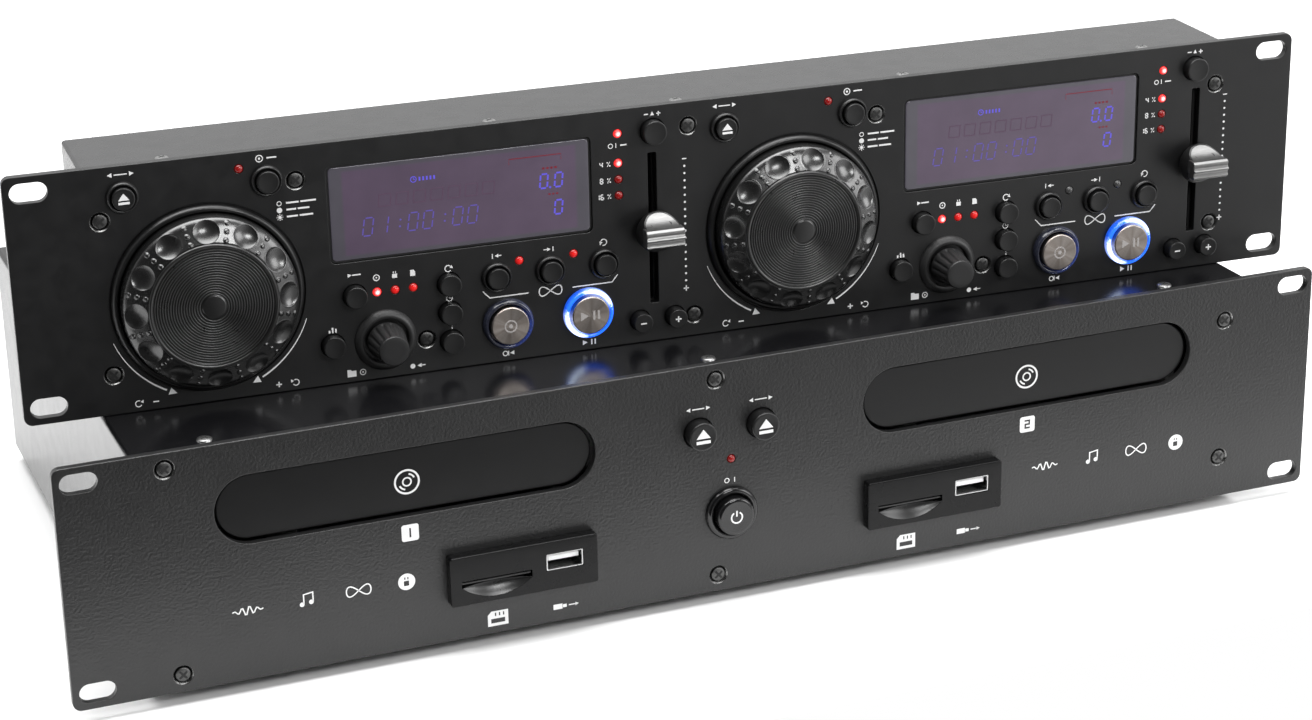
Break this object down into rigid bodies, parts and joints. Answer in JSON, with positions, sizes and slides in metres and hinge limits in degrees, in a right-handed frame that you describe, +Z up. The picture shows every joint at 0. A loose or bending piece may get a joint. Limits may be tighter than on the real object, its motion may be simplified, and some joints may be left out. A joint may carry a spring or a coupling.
{
  "type": "dual disc player",
  "caption": "Dual CD player for a DJ: a rack drive unit with disc trays, and a rack controller unit with jog wheels, displays and pitch faders standing on it.",
  "frame": {"origin": "middle of the bounding box, on the plane of the feet", "axes": "+X to the right seen from the front, -Y out of the front panels, +Z up"},
  "size_m": [0.4826, 0.2592, 0.1797],
  "materials": {
    "drive_panel_paint": "fine textured black powder coat",
    "controller_panel_paint": "satin black paint",
    "case_paint": "gloss black paint",
    "chassis_steel": "satin black paint",
    "black_plastic": "moulded, satin",
    "gloss_black_plastic": "moulded, semi-gloss",
    "lens_plastic": "smoked clear plastic",
    "tray_plastic": "moulded, satin",
    "loader_plastic": "moulded",
    "button_metal": "turned face, brushed in circles",
    "fader_metal": "satin cast and plated cap",
    "rubber": "matt",
    "screw_steel": "black zinc",
    "circuit_board": "solder mask",
    "socket_metal": "plated"
  },
  "bodies": {
    "drive": {"drive_front_panel": "drive_panel_paint", "drive_chassis": "chassis_steel", "drive_top_cover": "case_paint", "rubber_feet": "rubber", "loader_frames": "loader_plastic", "drive_boards": "circuit_board", "drive_front_fittings": "black_plastic", "rear_sockets": "socket_metal", "drive_screws": "screw_steel"},
    "controller": {"controller_front_panel": "controller_panel_paint", "controller_case": "case_paint", "controller_trim": "gloss_black_plastic", "controller_lenses": "lens_plastic", "controller_board": "circuit_board", "controller_screws": "screw_steel"},
    "disc_tray_1": {"disc_tray_1": "tray_plastic"},
    "disc_hub_1": {"disc_hub_1": "black_plastic"},
    "disc_tray_2": {"disc_tray_2": "tray_plastic"},
    "disc_hub_2": {"disc_hub_2": "black_plastic"},
    "drive_open_button_1": {"drive_open_button_1": "black_plastic"},
    "drive_open_button_2": {"drive_open_button_2": "black_plastic"},
    "power_button": {"power_button": "black_plastic"},
    "open_button_1": {"open_button_1": "black_plastic"},
    "jog_mode_button_1": {"jog_mode_button_1": "black_plastic"},
    "source_button_1": {"source_button_1": "black_plastic"},
    "bpm_button_1": {"bpm_button_1": "black_plastic"},
    "repeat_button_1": {"repeat_button_1": "black_plastic"},
    "time_button_1": {"time_button_1": "black_plastic"},
    "single_button_1": {"single_button_1": "black_plastic"},
    "loop_in_button_1": {"loop_in_button_1": "black_plastic"},
    "loop_out_button_1": {"loop_out_button_1": "black_plastic"},
    "reloop_button_1": {"reloop_button_1": "black_plastic"},
    "pitch_button_1": {"pitch_button_1": "black_plastic"},
    "bend_minus_button_1": {"bend_minus_button_1": "black_plastic"},
    "bend_plus_button_1": {"bend_plus_button_1": "black_plastic"},
    "cue_button_1": {"cue_button_1": "button_metal"},
    "play_button_1": {"play_button_1": "button_metal"},
    "jog_wheel_1": {"jog_wheel_1": "gloss_black_plastic"},
    "encoder_shaft_1": {"encoder_shaft_1": "socket_metal"},
    "track_knob_1": {"track_knob_1": "black_plastic"},
    "pitch_fader_1": {"pitch_fader_1": "fader_metal"},
    "open_button_2": {"open_button_2": "black_plastic"},
    "jog_mode_button_2": {"jog_mode_button_2": "black_plastic"},
    "source_button_2": {"source_button_2": "black_plastic"},
    "bpm_button_2": {"bpm_button_2": "black_plastic"},
    "repeat_button_2": {"repeat_button_2": "black_plastic"},
    "time_button_2": {"time_button_2": "black_plastic"},
    "single_button_2": {"single_button_2": "black_plastic"},
    "loop_in_button_2": {"loop_in_button_2": "black_plastic"},
    "loop_out_button_2": {"loop_out_button_2": "black_plastic"},
    "reloop_button_2": {"reloop_button_2": "black_plastic"},
    "pitch_button_2": {"pitch_button_2": "black_plastic"},
    "bend_minus_button_2": {"bend_minus_button_2": "black_plastic"},
    "bend_plus_button_2": {"bend_plus_button_2": "black_plastic"},
    "cue_button_2": {"cue_button_2": "button_metal"},
    "play_button_2": {"play_button_2": "button_metal"},
    "jog_wheel_2": {"jog_wheel_2": "gloss_black_plastic"},
    "encoder_shaft_2": {"encoder_shaft_2": "socket_metal"},
    "track_knob_2": {"track_knob_2": "black_plastic"},
    "pitch_fader_2": {"pitch_fader_2": "fader_metal"}
  },
  "joints": [
    {"name": "controller_lift", "type": "slide", "parent": "drive", "child": "controller", "axis": [0, 0, 1], "range_m": [0, 0.1]},
    {"name": "disc_tray_1_slide", "type": "slide", "parent": "drive", "child": "disc_tray_1", "axis": [0, -1, 0], "range_m": [0, 0.135]},
    {"name": "disc_hub_1_turn", "type": "hinge", "parent": "drive", "child": "disc_hub_1", "pos_m": [-0.1202, -0.05235, 0.055], "axis": [0, 0, 1], "continuous": true},
    {"name": "disc_tray_2_slide", "type": "slide", "parent": "drive", "child": "disc_tray_2", "axis": [0, -1, 0], "range_m": [0, 0.135]},
    {"name": "disc_hub_2_turn", "type": "hinge", "parent": "drive", "child": "disc_hub_2", "pos_m": [0.1202, -0.05235, 0.055], "axis": [0, 0, 1], "continuous": true},
    {"name": "drive_open_button_1_press", "type": "slide", "parent": "drive", "child": "drive_open_button_1", "axis": [0, 1, 0], "range_m": [0, 0.0012], "stiffness_N_per_m": 200},
    {"name": "drive_open_button_2_press", "type": "slide", "parent": "drive", "child": "drive_open_button_2", "axis": [0, 1, 0], "range_m": [0, 0.0012], "stiffness_N_per_m": 200},
    {"name": "power_button_press", "type": "slide", "parent": "drive", "child": "power_button", "axis": [0, 1, 0], "range_m": [0, 0.003], "stiffness_N_per_m": 200},
    {"name": "open_button_1_press", "type": "slide", "parent": "controller", "child": "open_button_1", "axis": [0.0488, 0.9988, 0], "range_m": [0, 0.001], "stiffness_N_per_m": 200},
    {"name": "jog_mode_button_1_press", "type": "slide", "parent": "controller", "child": "jog_mode_button_1", "axis": [0.0488, 0.9988, 0], "range_m": [0, 0.001], "stiffness_N_per_m": 200},
    {"name": "source_button_1_press", "type": "slide", "parent": "controller", "child": "source_button_1", "axis": [0.0488, 0.9988, 0], "range_m": [0, 0.001], "stiffness_N_per_m": 200},
    {"name": "bpm_button_1_press", "type": "slide", "parent": "controller", "child": "bpm_button_1", "axis": [0.0488, 0.9988, 0], "range_m": [0, 0.001], "stiffness_N_per_m": 200},
    {"name": "repeat_button_1_press", "type": "slide", "parent": "controller", "child": "repeat_button_1", "axis": [0.0488, 0.9988, 0], "range_m": [0, 0.001], "stiffness_N_per_m": 200},
    {"name": "time_button_1_press", "type": "slide", "parent": "controller", "child": "time_button_1", "axis": [0.0488, 0.9988, 0], "range_m": [0, 0.001], "stiffness_N_per_m": 200},
    {"name": "single_button_1_press", "type": "slide", "parent": "controller", "child": "single_button_1", "axis": [0.0488, 0.9988, 0], "range_m": [0, 0.001], "stiffness_N_per_m": 200},
    {"name": "loop_in_button_1_press", "type": "slide", "parent": "controller", "child": "loop_in_button_1", "axis": [0.0488, 0.9988, 0], "range_m": [0, 0.001], "stiffness_N_per_m": 200},
    {"name": "loop_out_button_1_press", "type": "slide", "parent": "controller", "child": "loop_out_button_1", "axis": [0.0488, 0.9988, 0], "range_m": [0, 0.001], "stiffness_N_per_m": 200},
    {"name": "reloop_button_1_press", "type": "slide", "parent": "controller", "child": "reloop_button_1", "axis": [0.0488, 0.9988, 0], "range_m": [0, 0.001], "stiffness_N_per_m": 200},
    {"name": "pitch_button_1_press", "type": "slide", "parent": "controller", "child": "pitch_button_1", "axis": [0.0488, 0.9988, 0], "range_m": [0, 0.001], "stiffness_N_per_m": 200},
    {"name": "bend_minus_button_1_press", "type": "slide", "parent": "controller", "child": "bend_minus_button_1", "axis": [0.0488, 0.9988, 0], "range_m": [0, 0.001], "stiffness_N_per_m": 200},
    {"name": "bend_plus_button_1_press", "type": "slide", "parent": "controller", "child": "bend_plus_button_1", "axis": [0.0488, 0.9988, 0], "range_m": [0, 0.001], "stiffness_N_per_m": 200},
    {"name": "cue_button_1_press", "type": "slide", "parent": "controller", "child": "cue_button_1", "axis": [0.0488, 0.9988, 0], "range_m": [0, 0.001], "stiffness_N_per_m": 250},
    {"name": "play_button_1_press", "type": "slide", "parent": "controller", "child": "play_button_1", "axis": [0.0488, 0.9988, 0], "range_m": [0, 0.001], "stiffness_N_per_m": 250},
    {"name": "jog_wheel_1_turn", "type": "hinge", "parent": "controller", "child": "jog_wheel_1", "pos_m": [-0.17539, -0.08177, 0.1296], "axis": [0.0488, 0.9988, 0], "continuous": true},
    {"name": "encoder_1_push", "type": "slide", "parent": "controller", "child": "encoder_shaft_1", "axis": [0.0488, 0.9988, 0], "range_m": [0, 0.0008], "stiffness_N_per_m": 400},
    {"name": "track_knob_1_turn", "type": "hinge", "parent": "encoder_shaft_1", "child": "track_knob_1", "pos_m": [-0.11485, -0.09274, 0.1058], "axis": [0.0488, 0.9988, 0], "continuous": true},
    {"name": "pitch_fader_1_slide", "type": "slide", "parent": "controller", "child": "pitch_fader_1", "axis": [0, 0, 1], "range_m": [-0.0225, 0.0225]},
    {"name": "open_button_2_press", "type": "slide", "parent": "controller", "child": "open_button_2", "axis": [0.0488, 0.9988, 0], "range_m": [0, 0.001], "stiffness_N_per_m": 200},
    {"name": "jog_mode_button_2_press", "type": "slide", "parent": "controller", "child": "jog_mode_button_2", "axis": [0.0488, 0.9988, 0], "range_m": [0, 0.001], "stiffness_N_per_m": 200},
    {"name": "source_button_2_press", "type": "slide", "parent": "controller", "child": "source_button_2", "axis": [0.0488, 0.9988, 0], "range_m": [0, 0.001], "stiffness_N_per_m": 200},
    {"name": "bpm_button_2_press", "type": "slide", "parent": "controller", "child": "bpm_button_2", "axis": [0.0488, 0.9988, 0], "range_m": [0, 0.001], "stiffness_N_per_m": 200},
    {"name": "repeat_button_2_press", "type": "slide", "parent": "controller", "child": "repeat_button_2", "axis": [0.0488, 0.9988, 0], "range_m": [0, 0.001], "stiffness_N_per_m": 200},
    {"name": "time_button_2_press", "type": "slide", "parent": "controller", "child": "time_button_2", "axis": [0.0488, 0.9988, 0], "range_m": [0, 0.001], "stiffness_N_per_m": 200},
    {"name": "single_button_2_press", "type": "slide", "parent": "controller", "child": "single_button_2", "axis": [0.0488, 0.9988, 0], "range_m": [0, 0.001], "stiffness_N_per_m": 200},
    {"name": "loop_in_button_2_press", "type": "slide", "parent": "controller", "child": "loop_in_button_2", "axis": [0.0488, 0.9988, 0], "range_m": [0, 0.001], "stiffness_N_per_m": 200},
    {"name": "loop_out_button_2_press", "type": "slide", "parent": "controller", "child": "loop_out_button_2", "axis": [0.0488, 0.9988, 0], "range_m": [0, 0.001], "stiffness_N_per_m": 200},
    {"name": "reloop_button_2_press", "type": "slide", "parent": "controller", "child": "reloop_button_2", "axis": [0.0488, 0.9988, 0], "range_m": [0, 0.001], "stiffness_N_per_m": 200},
    {"name": "pitch_button_2_press", "type": "slide", "parent": "controller", "child": "pitch_button_2", "axis": [0.0488, 0.9988, 0], "range_m": [0, 0.001], "stiffness_N_per_m": 200},
    {"name": "bend_minus_button_2_press", "type": "slide", "parent": "controller", "child": "bend_minus_button_2", "axis": [0.0488, 0.9988, 0], "range_m": [0, 0.001], "stiffness_N_per_m": 200},
    {"name": "bend_plus_button_2_press", "type": "slide", "parent": "controller", "child": "bend_plus_button_2", "axis": [0.0488, 0.9988, 0], "range_m": [0, 0.001], "stiffness_N_per_m": 200},
    {"name": "cue_button_2_press", "type": "slide", "parent": "controller", "child": "cue_button_2", "axis": [0.0488, 0.9988, 0], "range_m": [0, 0.001], "stiffness_N_per_m": 250},
    {"name": "play_button_2_press", "type": "slide", "parent": "controller", "child": "play_button_2", "axis": [0.0488, 0.9988, 0], "range_m": [0, 0.001], "stiffness_N_per_m": 250},
    {"name": "jog_wheel_2_turn", "type": "hinge", "parent": "controller", "child": "jog_wheel_2", "pos_m": [0.03885, -0.09225, 0.1296], "axis": [0.0488, 0.9988, 0], "continuous": true},
    {"name": "encoder_2_push", "type": "slide", "parent": "controller", "child": "encoder_shaft_2", "axis": [0.0488, 0.9988, 0], "range_m": [0, 0.0008], "stiffness_N_per_m": 400},
    {"name": "track_knob_2_turn", "type": "hinge", "parent": "encoder_shaft_2", "child": "track_knob_2", "pos_m": [0.09949, -0.10323, 0.1058], "axis": [0.0488, 0.9988, 0], "continuous": true},
    {"name": "pitch_fader_2_slide", "type": "slide", "parent": "controller", "child": "pitch_fader_2", "axis": [0, 0, 1], "range_m": [-0.0225, 0.0225]}
  ]
}
